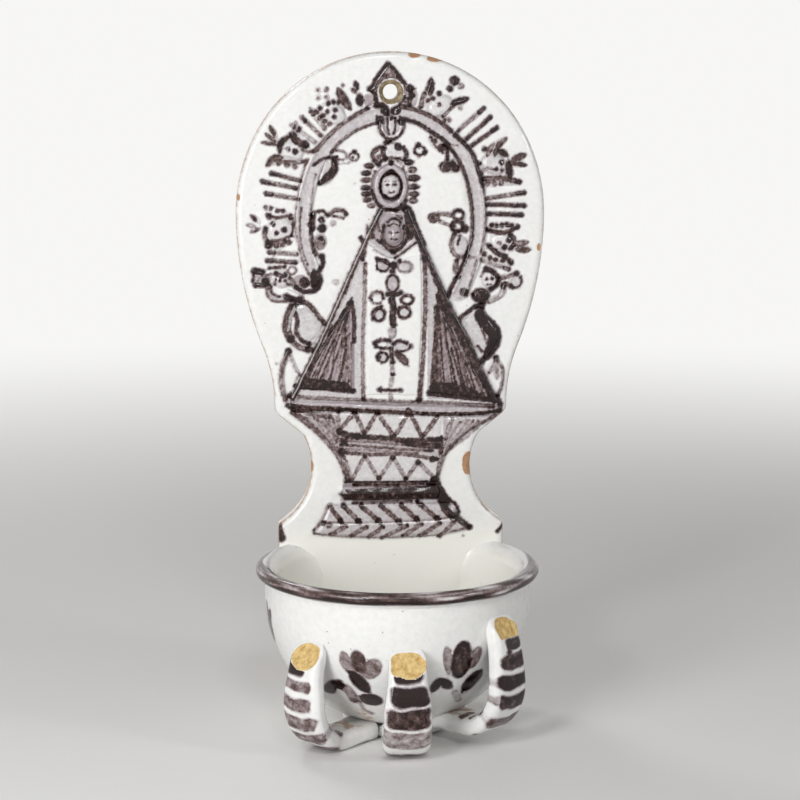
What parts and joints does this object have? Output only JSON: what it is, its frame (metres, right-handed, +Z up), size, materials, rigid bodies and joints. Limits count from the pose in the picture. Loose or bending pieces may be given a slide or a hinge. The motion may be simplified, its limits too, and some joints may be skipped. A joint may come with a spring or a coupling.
{
  "type": "holy water stoup",
  "caption": "Wall-hung glazed earthenware stoup: round-topped plate with a relief figure, a round bowl at its foot and three strap scrolls below.",
  "frame": {"origin": "axis of the hanging hole where it meets the wall plane", "axes": "+X to the right seen from the front, -Y out of the wall towards the viewer, +Z up"},
  "size_m": [0.1196, 0.099, 0.2561],
  "materials": {
    "white_glaze": "glossy white tin glaze, faintly warm, with fine specks",
    "striped_glaze": "glossy white tin glaze with broad manganese stripes",
    "painted_relief": "glossy tin glaze painted in manganese line and wash"
  },
  "bodies": {
    "root": {"aureole_band": "painted_relief", "aureole_knot": "painted_relief", "back_plate": "white_glaze", "bowl": "white_glaze", "centre_scroll_strap": "striped_glaze", "cherub_heads": "painted_relief", "cherub_wings": "painted_relief", "child_crown": "painted_relief", "child_head": "painted_relief", "collar": "painted_relief", "crescent_horns": "painted_relief", "crown": "painted_relief", "dress_bow": "painted_relief", "dress_flowers": "painted_relief", "dress_panel": "painted_relief", "hem_band": "painted_relief", "hole_hood": "painted_relief", "inner_sprigs": "painted_relief", "left_angel_head": "painted_relief", "left_angel_horn": "painted_relief", "left_angel_robe": "painted_relief", "left_mantle_panel": "painted_relief", "left_scroll_strap": "striped_glaze", "madonna_face": "painted_relief", "mantle": "painted_relief", "outer_blossoms": "painted_relief", "pedestal_bowl": "painted_relief", "pedestal_foot": "painted_relief", "pedestal_torus": "painted_relief", "ray_bars": "painted_relief", "right_angel_head": "painted_relief", "right_angel_horn": "painted_relief", "right_angel_robe": "painted_relief", "right_mantle_panel": "painted_relief", "right_scroll_strap": "striped_glaze", "rostrillo": "painted_relief", "rostrillo_pearls": "painted_relief", "strap_root": "striped_glaze"}
  },
  "joints": []
}
